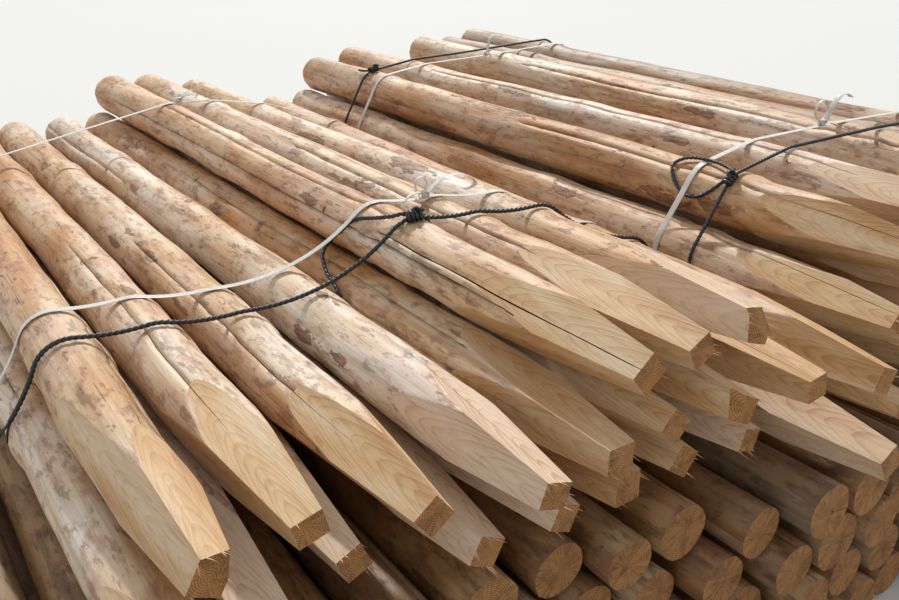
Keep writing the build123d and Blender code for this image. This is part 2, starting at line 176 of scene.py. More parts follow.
def measurePost(points, tri):
    # axis, taper and the sawn planes of one CAD post
    a, b, c = (points[tri[:, k]] for k in range(3))
    normal = np.cross(b - a, c - a)
    area = np.linalg.norm(normal, axis=1)
    keep = area > 1e-10
    tri, normal, area = tri[keep], normal[keep] / area[keep, None], area[keep]
    lo, hi = points.min(axis=0), points.max(axis=0)
    ends = []
    for y in (lo[1], hi[1]):
        near = points[abs(points[:, 1] - y) < reading["endSlice"]]
        ends.append((np.ptp(near[:, 0]), (near.min(axis=0) + near.max(axis=0)) / 2))
    tip, butt = (ends[0][1], ends[1][1]) if ends[0][0] < ends[1][0] else (ends[1][1], ends[0][1])
    for _ in range(3):
        axis = butt - tip
        axis /= np.linalg.norm(axis)
        lean = normal @ axis
        roundTri = tri[abs(lean) < reading["roundLean"]]
        onCone = points[np.unique(roundTri)]
        s = (onCone - tip) @ axis
        long = s.max()
        for fit in range(4):
            t = s / long
            centre = tip + t[:, None] * (butt - tip)
            off = onCone - centre
            dist = np.linalg.norm(off[:, [0, 2]], axis=1)
            ux, uz = off[:, 0] / dist, off[:, 2] / dist
            rows = np.stack([-ux * (1 - t), -uz * (1 - t), -ux * t, -uz * t, -np.ones_like(t), -t], axis=1)
            if fit == 0:
                size = np.array([dist.mean(), 0.0])
            residual = dist - (size[0] + size[1] * t)
            step = np.linalg.lstsq(rows, -residual, rcond=None)[0]
            tip = tip + np.array([step[0], 0, step[1]])
            butt = butt + np.array([step[2], 0, step[3]])
            size = size + step[4:6]
    axis = butt - tip
    axis /= np.linalg.norm(axis)
    side = np.cross([0, 0, 1], axis)
    side /= np.linalg.norm(side)
    up = np.cross(axis, side)
    local = (points - tip) @ np.stack([side, up, axis], axis=1)
    start, end = local[:, 2].min(), local[:, 2].max()
    lean = normal @ axis
    sawn = (lean > reading["sawnLean"][0]) & (lean < reading["sawnLean"][1])
    turned = normal[sawn] @ np.stack([side, up, axis], axis=1)
    height = (turned * local[tri[sawn][:, 0]]).sum(axis=1)
    weight = area[sawn].copy()
    planes = []
    while len(planes) < reading["flats"] and weight.max() > 0:
        # the biggest flat, weighing all triangles that lie in one plane
        groups = []
        for k in np.argsort(-weight)[:12]:
            same = (turned @ turned[k] > reading["sameTurn"]) & (abs(height - height[k]) < reading["sameHeight"])
            groups.append((weight[same].sum(), k))
        k = max(groups)[1]
        planes.append((turned[k], float(height[k])))
        weight[turned[:, :2] @ turned[k][:2] > reading["nextFlat"]] = 0
    toWorld = Matrix([[side[k], up[k], axis[k], tip[k]] for k in range(3)] + [[0, 0, 0, 1]])
    grow = size[1] / np.linalg.norm(butt - tip)
    return {"start": start, "end": end, "radius": size[0], "grow": grow, "planes": planes,
            "toWorld": toWorld, "tip": tip, "butt": butt}


def radiusAt(post, z):
    return post["radius"] + post["grow"] * z


def axisAt(post, y):
    # centre and radius where the plane at y cuts the post
    tip, butt = post["tip"], post["butt"]
    t = (y - tip[1]) / (butt[1] - tip[1])
    centre = tip + t * (butt - tip)
    return centre, radiusAt(post, t * np.linalg.norm(butt - tip))


measured = {}
for name in ("left_posts", "right_posts", "lower_posts"):
    measured[name] = [measurePost(points, tri) for points, tri in looseParts(nodes[name])]
    measured[name].sort(key=lambda p: (round(p["tip"][2], 2), p["tip"][0]))
    print(name, len(measured[name]), "posts measured")


def smooth(a, b, x):
    t = min(1, max(0, (x - a) / (b - a)))
    return t * t * (3 - 2 * t)


def stationsOf(post, name):
    # stations along the post, closer together over the sawn point
    step, pointStep = posts["stationStep"][name], posts["pointStep"][name]
    end = post["end"] - (posts["chamfer"] if name != "lower_posts" else 0)
    out, z = [post["start"]], post["start"]
    while z < end - 0.3 * step:
        z += pointStep if z < 0.48 else step
        out.append(min(z, end))
    if out[-1] < end:
        out.append(end)
    return out


def postGrid(post, name, number):
    # closed grid over the round body; cracks pinch three columns together and sink the middle one
    rng = random.Random(number * 31 + 7 + 100 * len(name))
    columns = posts["columns"][name]
    gap = 2 * math.pi / columns
    length = post["end"]
    patches = [p[1:] for p in barkPatches[name] if p[0] == number]
    checks = [{"column": round(p[1] / gap) % columns, "at": p[1], "from": p[2], "to": p[3], "width": p[4],
               "depth": p[5], "seed": p[1] * 17} for p in bigChecks[name] if p[0] == number]
    taken = [c["column"] for c in checks]
    for _ in range(rng.randint(*posts["checksPerPost"])):
        column = rng.randrange(columns)
        long = rng.uniform(*posts["checkLength"])
        first = rng.uniform(-0.2, length - 0.4 * long)
        wide, deep = rng.uniform(*posts["checkWidth"]), rng.uniform(*posts["checkDepth"])
        if all(min((column - t) % columns, (t - column) % columns) > 5 for t in taken):
            taken.append(column)
            checks.append({"column": column, "from": first, "to": first + long, "width": wide, "depth": deep,
                           "seed": rng.uniform(0, 100)})
    bound = []
    for loop in strapLoops + ropeLoops:
        if loop["posts"] == name:
            y = loop["y"] + math.tan(math.radians(loop["turn"])) * (axisAt(post, loop["y"])[0][0] - pivotX)
            whole = post["butt"] - post["tip"]
            bound.append(float((y - post["tip"][1]) / whole[1] * np.linalg.norm(whole)))
    whorls, knots = [], []
    z = rng.uniform(0.1, posts["knotWhorl"])
    while z < length:
        whorls.append((z, rng.uniform(0.4, 1.0)))
        for _ in range(rng.randint(1, 3)):
            knots.append((z + rng.uniform(-0.03, 0.03), rng.uniform(0, 2 * math.pi),
                          rng.uniform(*posts["knotSize"])))
        z += posts["knotWhorl"] * rng.uniform(0.6, 1.4)
    seed = rng.uniform(0, 1000)
    bow = rng.uniform(0, 2 * math.pi)
    chamfer = posts["chamfer"] if name != "lower_posts" else 0.0
    full = [(z, 1.0, 0.0) for z in stationsOf(post, name)]
    if chamfer:
        full += [(post["end"] - chamfer * 0.5, 1.0, chamfer * 0.5), (post["end"], 1.0, chamfer)]
    full += [(post["end"], k, chamfer) for k in posts["buttRings"]]
    rings = []
    taper, (slow, quick) = posts["checkTaper"], posts["checkDrift"]
    for z, share, cut in full:
        r = radiusAt(post, z) - cut
        ring = []
        angles = [gap * j for j in range(columns)]
        sink = [0.0] * columns
        for c in checks:
            opening = smooth(c["from"], c["from"] + taper, z) * (1 - smooth(c["to"] - taper, c["to"], z))
            if opening <= 0:
                continue
            j = c["column"]
            drift = slow * noise.noise((z * 2.0, c["seed"], 0.0)) + quick * noise.noise((z * 14, c["seed"], 5.0))
            middle = gap * j + drift / r
            wide = c["width"] * (0.75 + 0.6 * noise.noise((z * 6, c["seed"], 9.0))) * opening
            pinch = smooth(0.0, 0.5, opening)
            for k, target in ((-1, middle - wide / 2 / r), (0, middle), (1, middle + wide / 2 / r)):
                i = (j + k) % columns
                base = gap * (j + k)
                angles[i] = base + (target - base) * (pinch if k else 1)
            for k in (-2, 2):
                angles[(j + k) % columns] = gap * (j + k) + drift / r * 0.5
            sink[j] = max(sink[j], c["depth"] * opening ** 1.5)
        swell = max(w * math.exp(-((z - wz) / posts["whorlReach"]) ** 2) for wz, w in whorls)
        held = max([math.exp(-((z - bz) / posts["boundReach"]) ** 4) for bz in bound] + [0.0])
        swell = max(swell, held)
        bend = (1 - held) * min(1.0, z / 0.3)
        bendX = posts["crooked"] * bend * noise.noise((z * 1.3, seed, 1.0)) * 2
        bendY = posts["crooked"] * bend * (noise.noise((z * 1.3, seed, 7.0)) - 0.35)
        for j, angle in enumerate(angles):
            x, y = math.cos(angle), math.sin(angle)
            wander = posts["wander"] * (1 - swell) * (0.5 + 0.9 * noise.noise((x * 0.8 + seed, y * 0.8, z * 2.4)))
            dent = posts["dent"] * (1 - 0.5 * held) * (0.9 + noise.noise((x * 2.6 + seed, y * 2.6, z * 6))
                                                       + 0.5 * noise.noise((x * 6 + seed, y * 6, z * 19)))
            flat = posts["oval"] * (1 + math.cos(2 * angle + bow)) * 0.5
            rise, nearKnot = 0.0, 6.0
            for kz, ka, size in knots:
                da = (angle - ka + math.pi) % (2 * math.pi) - math.pi
                dist = math.hypot(z - kz, da * r)
                nearKnot = min(nearKnot, dist / size)
                if dist < 3.5 * size:
                    rise = max(rise, posts["knotRise"] * math.exp(-(dist / size / 1.3) ** 2))
            bark = 0.0
            for pa, pz, long, wide in patches:
                da = (angle - pa + math.pi) % (2 * math.pi) - math.pi
                bark = max(bark, 1.4 - math.hypot((z - pz) / long, da * r / wide))
            bark = max(bark, 0.0)
            rise += posts["barkRise"] * smooth(0.3, 0.7, bark)
            radius = (r - max(0.0, wander) - dent - flat + rise) * share
            down = sink[j] * min(1.0, share * 1.5)
            cracked = sink[j] > 0.002
            if share == 1.0:
                radius -= down
                ring.append((x * radius + bendX, y * radius + bendY, z, cracked, nearKnot, bark))
            else:
                ring.append((x * radius + bendX, y * radius + bendY, z - 0.7 * down, cracked, 6.0, 0.0))
        rings.append(ring)
    return rings, columns


def splinter(bm, edge, rng):
    # a torn fibre: a thin closed wedge that stands off the end of a sawn point
    a, b = edge.verts[0].co, edge.verts[1].co
    at, along = a.lerp(b, rng.uniform(0.1, 0.9)), (b - a).normalized()
    out = (edge.link_faces[0].normal + edge.link_faces[1].normal).normalized()
    long, thick = rng.uniform(*splinters["long"]), rng.uniform(*splinters["thick"])
    top = at + Vector((0, 0, -0.8 * long)) + out * long * rng.uniform(0.0, 0.5) + along * long * rng.uniform(-0.3, 0.3)
    root = at - out * thick + Vector((0, 0, 3 * thick))
    corners = [bm.verts.new(p) for p in (root + along * thick, root - along * thick, root - out * thick * 1.5, top)]
    for trio in ((0, 1, 2), (0, 1, 3), (1, 2, 3), (2, 0, 3)):
        bm.faces.new([corners[k] for k in trio]).material_index = sawnSlot


peeledSlot, sawnSlot, endSlot, greySlot = range(4)


def sawOff(bm, normal, distance, slot):
    # takes away all that lies past a plane and closes the cut
    cut = bmesh.ops.bisect_plane(bm, geom=bm.verts[:] + bm.edges[:] + bm.faces[:], dist=1e-6,
                                 plane_co=normal * distance, plane_no=normal, clear_outer=True)
    rim = [e for e in cut["geom_cut"] if isinstance(e, bmesh.types.BMEdge)]
    for f in bmesh.ops.contextual_create(bm, geom=rim, mat_nr=slot)["faces"]:
        f.material_index = slot
        f.smooth = False


def newPiece(title, verts, faces, materials, node):
    # a mesh held inside the CAD box, on the stack's body
    mesh = bpy.data.meshes.new(title)
    held = np.clip(np.array(verts), np.array(cadBox[0]), np.array(cadBox[1]))
    mesh.from_pydata(held.tolist(), [], faces)
    for material in materials:
        mesh.materials.append(material)
    piece = bpy.data.objects.new(title, mesh)
    bpy.context.scene.collection.objects.link(piece)
    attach(piece, "root")
    if node:
        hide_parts(node)
    print(title, len(mesh.vertices), "points")
    return piece


def buildBundle(name, title, materials, greyPosts):
    # all posts of a bundle as one mesh, with what the wood materials read on its points
    verts, faces, slots = [], [], []
    grain, floats = [], {"tone": [], "crack": [], "knot": [], "bark": []}
    for number, post in enumerate(measured[name]):
        rings, columns = postGrid(post, name, number)
        roundSlot = greySlot if number in greyPosts else peeledSlot
        bm = bmesh.new()
        marks = [bm.verts.layers.float.new(key) for key in ("crack", "knot", "bark")]
        rows = []
        for ring in rings:
            row = []
            for x, y, z, c, k, b in ring:
                v = bm.verts.new((x, y, z))
                v[marks[0]], v[marks[1]], v[marks[2]] = float(c), k, b
                row.append(v)
            rows.append(row)
        bodyRows = len(rows) - 1 - len(posts["buttRings"])
        for i in range(len(rows) - 1):
            for j in range(columns):
                k = (j + 1) % columns
                f = bm.faces.new((rows[i][j], rows[i][k], rows[i + 1][k], rows[i + 1][j]))
                f.material_index = roundSlot if i < bodyRows else endSlot
                f.smooth = True
        bm.faces.new(rows[-1]).material_index = endSlot
        # the point's end is a fan, because the planes below can lose a single face with cracks in its rim
        heart = bm.verts.new((0, 0, post["start"]))
        for j in range(columns):
            bm.faces.new((rows[0][(j + 1) % columns], rows[0][j], heart)).material_index = endSlot
        for n, d in post["planes"]:
            sawOff(bm, Vector(n.tolist()), d, sawnSlot)
        for n, d in brokenTips.get((name, number), []):
            sawOff(bm, Vector(n).normalized(), d, endSlot)
        bm.normal_update()
        rng = random.Random(number * 17 + len(name))
        if name != "lower_posts":
            rims = [e for e in bm.edges if sorted(f.material_index for f in e.link_faces) == [sawnSlot, endSlot]]
            for _ in range(rng.randint(*splinters["perPost"])):
                splinter(bm, rng.choices(rims, [e.calc_length() for e in rims])[0], rng)
        bmesh.ops.recalc_face_normals(bm, faces=bm.faces[:])
        pith = [rng.uniform(-posts["pithOff"], posts["pithOff"]) for _ in range(2)]
        shift = number % 29 * 3.1  # no two neighbours show the same stretch of pattern
        paint = rng.random()
        base = len(verts)
        bm.verts.index_update()
        for v in bm.verts:
            verts.append(tuple(post["toWorld"] @ v.co))
            grain.append((v.co.x - pith[0], v.co.y - pith[1], v.co.z + shift))
            for key, value in zip(floats, (paint, *(v[mark] for mark in marks))):
                floats[key].append(value)
        for f in bm.faces:
            faces.append([base + v.index for v in f.verts])
            slots.append(f.material_index)
        bm.free()
    mesh = newPiece(title, verts, faces, materials, name).data
    mesh.polygons.foreach_set("material_index", slots)
    mesh.polygons.foreach_set("use_smooth", [slot not in (sawnSlot, endSlot) for slot in slots])
    mesh.attributes.new("grain", "FLOAT_VECTOR", "POINT").data.foreach_set("vector", np.array(grain).reshape(-1))
    for key, values in floats.items():
        mesh.attributes.new(key, "FLOAT", "POINT").data.foreach_set("value", values)


def linear(code):
    # sRGB hex to the linear colour Blender shades with
    out = []
    for k in (0, 2, 4):
        v = int(code[k:k + 2], 16) / 255
        out.append(v / 12.92 if v <= 0.04045 else ((v + 0.055) / 1.055) ** 2.4)
    return (*out, 1.0)


def add(tree, kind, links=None, stops=None, **settings):
    # one node: its settings, its inputs (a node, a socket, a hex colour or a number) and a ramp's stops
    node = tree.nodes.new("ShaderNode" + kind)
    for key, value in settings.items():
        setattr(node, key, value)
    for key, value in (links or {}).items():
        if isinstance(value, bpy.types.Node):
            value = next(socket for socket in value.outputs if socket.enabled)
        if isinstance(value, bpy.types.NodeSocket):
            tree.links.new(value, node.inputs[key])
        else:
            node.inputs[key].default_value = linear(value) if isinstance(value, str) else value
    for k, (at, shade) in enumerate(stops or []):
        band = node.color_ramp.elements
        element = band[k] if k < 2 else band.new(at)
        element.position = at
        element.color = linear(shade) if isinstance(shade, str) else (shade, shade, shade, 1)
    return node


def newMaterial(name):
    material = bpy.data.materials.new(name)
    material.use_nodes = True
    tree = material.node_tree
    tree.nodes.clear()
    shader = add(tree, "BsdfPrincipled")
    add(tree, "OutputMaterial", {0: shader})
    return material, tree, shader


def startWood(name, look):
    # a material with the wood's own axes, across and along the grain, and the noises that its look asks for
    material, tree, shader = newMaterial(name)
    grain = add(tree, "Attribute", attribute_name="grain").outputs["Vector"]
    noises = {}
    for key, (across, along, shift, detail, rough) in look["noises"].items():
        placed = add(tree, "Mapping", {"Vector": grain, "Scale": (across, across, along), "Location": (shift, 0, 0)})
        noises[key] = add(tree, "TexNoise", {"Vector": placed, "Scale": 1.0, "Detail": detail, "Roughness": rough})
    return material, tree, shader, grain, noises


def finishMaterial(tree, shader, colour, layers, height, forms, look):
    # lays each layer over the colour and each form on the relief, and joins both to the shader; look has the
    # relief's depth in metres and the shader's values
    for over, shade, way in layers:
        colour = add(tree, "Mix", {0: over, 6: colour, 7: shade}, data_type="RGBA", blend_type=way)
    for form, share in forms:
        height = add(tree, "Math", {0: form, 1: share, 2: height}, operation="MULTIPLY_ADD")
    bump = add(tree, "Bump", {"Height": height, "Strength": look.get("strength", 1.0), "Distance": look["relief"]})
    for key, node in (("Base Color", colour), ("Normal", bump)):
        tree.links.new(next(socket for socket in node.outputs if socket.enabled), shader.inputs[key])
    for key, value in look["surface"].items():
        shader.inputs[key].default_value = value


# noises are given as: scale across and along the grain (1000 / scale is about a feature's mm), shift, detail, roughness
peeledLook = {
    "cream": "EDE2D5", "pale": "E0C7A8", "tan": "C99B69", "honey": "AE7843", "pink": "E3C4B0", "scuff": "74503A",
    # deep is the darkest bark, and also the painted shade on the floors of the open cracks
    "rust": "9A5E38", "grey": "A2988A", "greyDark": "7C7368", "bast": "94633F", "bark": "6E4A32", "deep": "2E1F15",
    "light": "B08A62", "halo": "BE8A5A", "hairCrack": "4B3320",
    "noises": {
        "cloud": (10, 2.2, 0, 4, 0.55), "blush": (8, 1.7, 3.7, 4, 0.55), "streak": (62, 1.8, 7.4, 5, 0.55),
        "fibre": (300, 7, 11.1, 3, 0.5), "blotch": (20, 6.5, 14.8, 5, 0.62), "hair": (34, 1.5, 18.5, 3, 0.5),
        "peel": (46, 15, 22.2, 4, 0.6), "smudge": (24, 11, 25.9, 6, 0.68), "sky": (7, 1, 41, 5, 0.6),
        "knife": (58, 24, 13, 6, 0.66), "edge": (110, 34, 0, 6, 0.65), "lobe": (38, 15, 0, 3, 0.5),
        "knotEdge": (160, 90, 0, 3, 0.5)},
    "relief": 0.0017, "surface": {"Roughness": 0.58, "IOR": 1.45},
}
# the bundle below: the same wood, dirtier, and darker all over as painted shade for the shadow of the stack above it
lowerDirtAndShadeLook = {
    "cream": "B2946C", "pale": "9E7B52", "tan": "875E37", "honey": "6C4526", "pink": "92643F",
    "grey": "7F7260", "greyDark": "5C5144", "bast": "5E3C24", "bark": "43291A", "light": "7D5836",
    "rust": "5E3A22", "scuff": "4E3524",
}


def peeledSpruce(name, weather, bast, palette=()):
    # peeled by machine and dried: pale wood with long soft streaks, blushes of pink and honey where the
    # bast was scraped through, brown blotches where it stayed, knots and hair-thin drying cracks
    look = dict(peeledLook, **dict(palette))
    material, tree, shader, _, noises = startWood(name, look)
    tone, bark, knot, crack = (add(tree, "Attribute", attribute_name=key).outputs["Fac"]
                               for key in ("tone", "bark", "knot", "crack"))
    warm = add(tree, "Math", {0: tone, 1: 0.24, 2: noises["cloud"]}, operation="MULTIPLY_ADD")
    colour = add(tree, "ValToRGB", {0: warm}, [(0.42, look["cream"]), (0.58, look["pale"]), (0.74, look["tan"]),
                                               (0.90, look["honey"])])
    blush = add(tree, "ValToRGB", {0: noises["blush"]}, [(0.52, 0.0), (0.66, 0.6)])
    # long streaks and fibres follow the trunk; drawn at their real 2 to 15 mm
    streak = add(tree, "ValToRGB", {0: noises["streak"]}, [(0.30, "B8946C"), (0.50, "FFFFFF"), (0.75, "EBD9C0")])
    fibre = add(tree, "ValToRGB", {0: noises["fibre"]}, [(0.30, "C7AE8C"), (0.55, "FFFFFF")])
    # grey where sun and rain have been at it longest
    greyFac = add(tree, "ValToRGB", {0: noises["sky"]}, [(0.58 - 0.30 * weather, 0.0),
                                                         (0.80 - 0.24 * weather, 0.45 + 0.4 * weather)])
    greyTone = add(tree, "ValToRGB", {0: noises["streak"]}, [(0.35, look["greyDark"]), (0.6, look["grey"])])
    # reddish inner bark rubbed thin, in smudges a few cm across
    rust = add(tree, "ValToRGB", {0: noises["smudge"]}, [(0.52, 0.0), (0.60, 0.34), (0.72, 0.72)])
    # scuffs and chips a cm or two long, where the knives jumped
    scuff = add(tree, "ValToRGB", {0: noises["knife"]}, [(0.55, 0.0), (0.62, 0.45), (0.74, 0.7)])
    # bast that the knives skipped, torn along the fibres
    torn = add(tree, "Math", {0: noises["fibre"], 1: 0.10, 2: noises["blotch"]}, operation="MULTIPLY_ADD")
    bastFac = add(tree, "ValToRGB", {0: torn}, [(bast, 0.0), (bast + 0.035, 0.5), (bast + 0.15, 0.8)])
    bastTone = add(tree, "ValToRGB", {0: noises["streak"]}, [(0.35, look["bark"]), (0.62, look["bast"])])
    # patches of bark, their place from the mesh and their ragged edge from noise
    ragged = add(tree, "Math", {0: noises["lobe"], 1: 2.6, 2: bark}, operation="MULTIPLY_ADD")
    ragged = add(tree, "Math", {0: noises["edge"], 1: 1.5, 2: ragged}, operation="MULTIPLY_ADD")
    ragged = add(tree, "Math", {0: ragged, 1: 0.25}, operation="MULTIPLY")
    barkFac = add(tree, "ValToRGB", {0: ragged}, [(0.675, 0.0), (0.70, 0.8)])
    barkTone = add(tree, "ValToRGB", {0: noises["edge"]}, [(0.36, look["deep"]), (0.45, look["bark"]),
                                                           (0.55, look["bast"]), (0.68, look["light"])])
    # knots: a dark ring round a redder core, with the wood blushing for a few cm about it
    away = add(tree, "Math", {0: noises["knotEdge"], 1: 0.9, 2: knot}, operation="MULTIPLY_ADD")
    away = add(tree, "Math", {0: away, 1: 0.2}, operation="MULTIPLY")
    halo = add(tree, "ValToRGB", {0: away}, [(0.22, 0.55), (0.75, 0.0)])
    knotTone = add(tree, "ValToRGB", {0: away}, [(0.08, "7E5230"), (0.19, "A5744A"), (0.25, "4A2D1A"),
                                                 (0.30, "6F4728")])
    knotFac = add(tree, "ValToRGB", {0: away}, [(0.27, 1.0), (0.33, 0.0)])
    # hair cracks: where one stretched noise crosses its middle, broken off by another
    offMiddle = add(tree, "Math", {0: noises["hair"], 1: 0.5, 2: 0.0035}, operation="COMPARE")
    some = add(tree, "Math", {0: noises["cloud"], 1: 0.52}, operation="GREATER_THAN")
    hair = add(tree, "Math", {0: add(tree, "Math", {0: offMiddle, 1: some}, operation="MULTIPLY"), 1: 0.75},
               operation="MULTIPLY")
    # the open checks are real grooves; their floor is painted nearly black with the deep colour, a painted shade inside
    # the crack
    crackShadeFac = add(tree, "ValToRGB", {0: crack}, [(0.35, 0.0), (0.9, 1.0)])
    layers = [(blush, look["pink"], "MIX"), (0.5, streak, "MULTIPLY"), (0.28, fibre, "MULTIPLY"),
              (greyFac, greyTone, "MIX"), (rust, look["rust"], "MIX"), (scuff, look["scuff"], "MIX"),
              (bastFac, bastTone, "MIX"), (barkFac, barkTone, "MIX"), (halo, look["halo"], "MIX"),
              (knotFac, knotTone, "MIX"), (hair, look["hairCrack"], "MIX"), (crackShadeFac, look["deep"], "MIX")]
    height = add(tree, "Math", {0: noises["fibre"], 1: 0.22}, operation="MULTIPLY")
    barkRelief = add(tree, "Math", {0: noises["edge"], 1: 3.0, 2: 0.4}, operation="MULTIPLY_ADD")
    forms = [(noises["peel"], 0.9), (bastFac, 0.4), (rust, 0.35), (scuff, -0.8), (hair, -0.7), (barkFac, barkRelief)]
    finishMaterial(tree, shader, colour, layers, height, forms, look)
    return material


sawnLook = {
    "early": "D9BD92", "late": "A27A4B", "warm": "C79B69", "pale": "E6D5B8", "pink": "E6D0BE", "dirt": "8A6845",
    "honey": "DCB182", "ringMm": 3.4,
    "noises": {"warp": (15, 2.4, 0, 3, 0.5), "cloud": (20, 3, 5.3, 4, 0.55), "fibre": (240, 8, 10.6, 4, 0.55),
               "dirt": (30, 8, 15.9, 6, 0.62), "saw": (10, 430, 21.2, 2, 0.5)},
    "relief": 0.0006, "surface": {"Roughness": 0.6, "IOR": 1.45},
}


def sawnSpruce():
    # band-sawn faces of the points: growth rings cut at a slant show as long faint arches on honey wood,
    # crossed by fine saw lines
    look = sawnLook
    material, tree, shader, grain, noises = startWood("sawnSpruce", look)
    tone = add(tree, "Attribute", attribute_name="tone").outputs["Fac"]
    apart = add(tree, "SeparateXYZ", {0: grain})
    flatOnly = add(tree, "CombineXYZ", {0: apart.outputs[0], 1: apart.outputs[1]})
    radius = add(tree, "VectorMath", {0: flatOnly}, operation="LENGTH")
    warped = add(tree, "Math", {0: noises["warp"], 1: 0.011, 2: radius}, operation="MULTIPLY_ADD")
    # fast and slow years: the spacing itself wanders
    alongRadius = add(tree, "CombineXYZ", {0: warped})
    years = add(tree, "TexNoise", {"Vector": alongRadius, "Scale": 130.0, "Detail": 2})
    years = add(tree, "Math", {0: years, 1: 2.2}, operation="MULTIPLY")
    rings = add(tree, "Math", {0: warped, 1: 1000 / look["ringMm"], 2: years}, operation="MULTIPLY_ADD")
    part = add(tree, "Math", {0: rings}, operation="FRACT")
    line = add(tree, "ValToRGB", {0: part}, [(0.0, 0.0), (0.55, 0.12), (0.86, 1.0), (0.93, 1.0), (0.97, 0.0)])
    strength = add(tree, "ValToRGB", {0: noises["cloud"]}, [(0.35, 0.12), (0.65, 0.50)])
    lineFac = add(tree, "Math", {0: line, 1: strength}, operation="MULTIPLY")
    colour = add(tree, "ValToRGB", {0: noises["cloud"]}, [(0.32, look["pale"]), (0.5, look["early"]),
                                                          (0.72, look["warm"])])
    # every third point or so has dried to a pinkish white, the rest keep their honey
    pinkFac = add(tree, "ValToRGB", {0: tone}, [(0.26, 0.62), (0.42, 0.0)])
    fibre = add(tree, "ValToRGB", {0: noises["fibre"]}, [(0.28, "C4A075"), (0.52, "FFFFFF")])
    dirt = add(tree, "ValToRGB", {0: noises["dirt"]}, [(0.63, 0.0), (0.76, 0.55)])
    toneFac = add(tree, "Math", {0: tone, 1: 0.4}, operation="MULTIPLY")
    layers = [(pinkFac, look["pink"], "MIX"), (lineFac, look["late"], "MIX"), (0.35, fibre, "MULTIPLY"),
              (dirt, look["dirt"], "MIX"), (toneFac, look["honey"], "MULTIPLY")]
    height = add(tree, "Math", {0: noises["fibre"], 1: 0.5}, operation="MULTIPLY")
    finishMaterial(tree, shader, colour, layers, height, [(noises["saw"], 0.4), (line, 0.3)], look)
    return material


endLook = {
    "early": "AB7746", "middle": "B98850", "late": "7E512E", "dark": "4C2F1B", "ray": "9A6C44", "split": "2A1A10",
    "ringMm": 3.6,
    "noises": {"warp": (30, 1, 0, 3, 0.5), "stain": (26, 1, 5.3, 5, 0.65), "fuzz": (420, 60, 10.6, 4, 0.7)},
    "relief": 0.0008, "surface": {"Roughness": 0.82, "IOR": 1.45},
}


def endGrain():
    # cross-cut ends, gone orange-brown: rings, rays and star cracks from the pith, with the fuzz of the saw
    look = endLook
    material, tree, shader, grain, noises = startWood("endGrainSpruce", look)
    apart = add(tree, "SeparateXYZ", {0: grain})
    flatOnly = add(tree, "CombineXYZ", {0: apart.outputs[0], 1: apart.outputs[1]})
    radius = add(tree, "VectorMath", {0: flatOnly}, operation="LENGTH")
    warped = add(tree, "Math", {0: noises["warp"], 1: 0.006, 2: radius}, operation="MULTIPLY_ADD")
    rings = add(tree, "Math", {0: warped, 1: 1000 / look["ringMm"]}, operation="MULTIPLY")
    part = add(tree, "Math", {0: rings}, operation="FRACT")
    colour = add(tree, "ValToRGB", {0: part}, [(0.0, look["early"]), (0.6, look["middle"]), (0.88, look["late"]),
                                               (1.0, look["early"])])
    turn = add(tree, "Math", {0: apart.outputs[1], 1: apart.outputs[0]}, operation="ARCTAN2")
    spokes = add(tree, "Math", {0: turn, 1: 9.0}, operation="MULTIPLY")
    outward = add(tree, "Math", {0: radius, 1: 14.0}, operation="MULTIPLY")
    fan = add(tree, "CombineXYZ", {0: spokes, 1: outward, 2: apart.outputs[2]})
    rays = add(tree, "TexNoise", {"Vector": fan, "Scale": 1.0, "Detail": 4.0})
    rayTone = add(tree, "ValToRGB", {0: rays}, [(0.32, look["ray"]), (0.5, "FFFFFF")])
    stain = add(tree, "ValToRGB", {0: noises["stain"]}, [(0.45, 0.0), (0.7, 0.6)])
    star = add(tree, "Math", {0: rays, 1: 0.47, 2: 0.005}, operation="COMPARE")
    layers = [(0.4, rayTone, "MULTIPLY"), (stain, look["dark"], "MIX"), (star, look["split"], "MIX")]
    finishMaterial(tree, shader, colour, layers, noises["fuzz"], [(part, 0.6), (star, -1.5)], look)
    return material


sawn, ends = sawnSpruce(), endGrain()
upperWoods = [peeledSpruce("peeledSpruce", 0.15, 0.64), sawn, ends, peeledSpruce("weatheredSpruce", 0.85, 0.69)]
# the lower bundle's darker colours are partly dirt and partly painted shade
lowerWoods = [peeledSpruce("dirtyShadedSpruce", 0.15, 0.60, lowerDirtAndShadeLook), sawn, ends,
              peeledSpruce("dirtyShadedWeatheredSpruce", 0.7, 0.62, lowerDirtAndShadeLook)]
print("wood materials made")
greyPosts = {"left_posts": (9, 17), "right_posts": (6, 13, 15, 16), "lower_posts": tuple(range(0, 86, 3))}
for name, title in (("left_posts", "leftPosts"), ("right_posts", "rightPosts"), ("lower_posts", "lowerPosts")):
    buildBundle(name, title, lowerWoods if name == "lower_posts" else upperWoods, greyPosts[name])


# off is how far the middle of the strap or rope lies from the wood, lay the length of one turn of the strands
strap = {"width": 0.015, "thick": 0.0012, "off": 0.0011, "step": 0.008}
rope = {"diameter": 0.009, "off": 0.0050, "step": 0.0036, "lay": 0.030}
sway = {"most": 0.010, "perMetre": 3}  # how far straps and ropes stray along the posts


def circlesOf(loop, away):
    # the bundle's posts where the loop's plane cuts them
    lean, wider = math.tan(math.radians(loop["turn"])), 1 / math.cos(math.radians(loop["turn"]))
    out = []
    for post in measured[loop["posts"]]:
        at = loop["y"]
        for _ in range(2):
            at = loop["y"] + lean * (axisAt(post, at)[0][0] - pivotX)
        centre, r = axisAt(post, at)
        out.append(((centre[0] - pivotX) * wider, centre[2], r * wider + away))
    return out


def arcPoints(centre, r, a0, a1, step=0.004):
    count = max(2, int(abs(a1 - a0) * r / step))
    turns = [a0 + (a1 - a0) * k / count for k in range(count)]
    return [(centre[0] + r * math.cos(a), centre[1] + r * math.sin(a)) for a in turns]


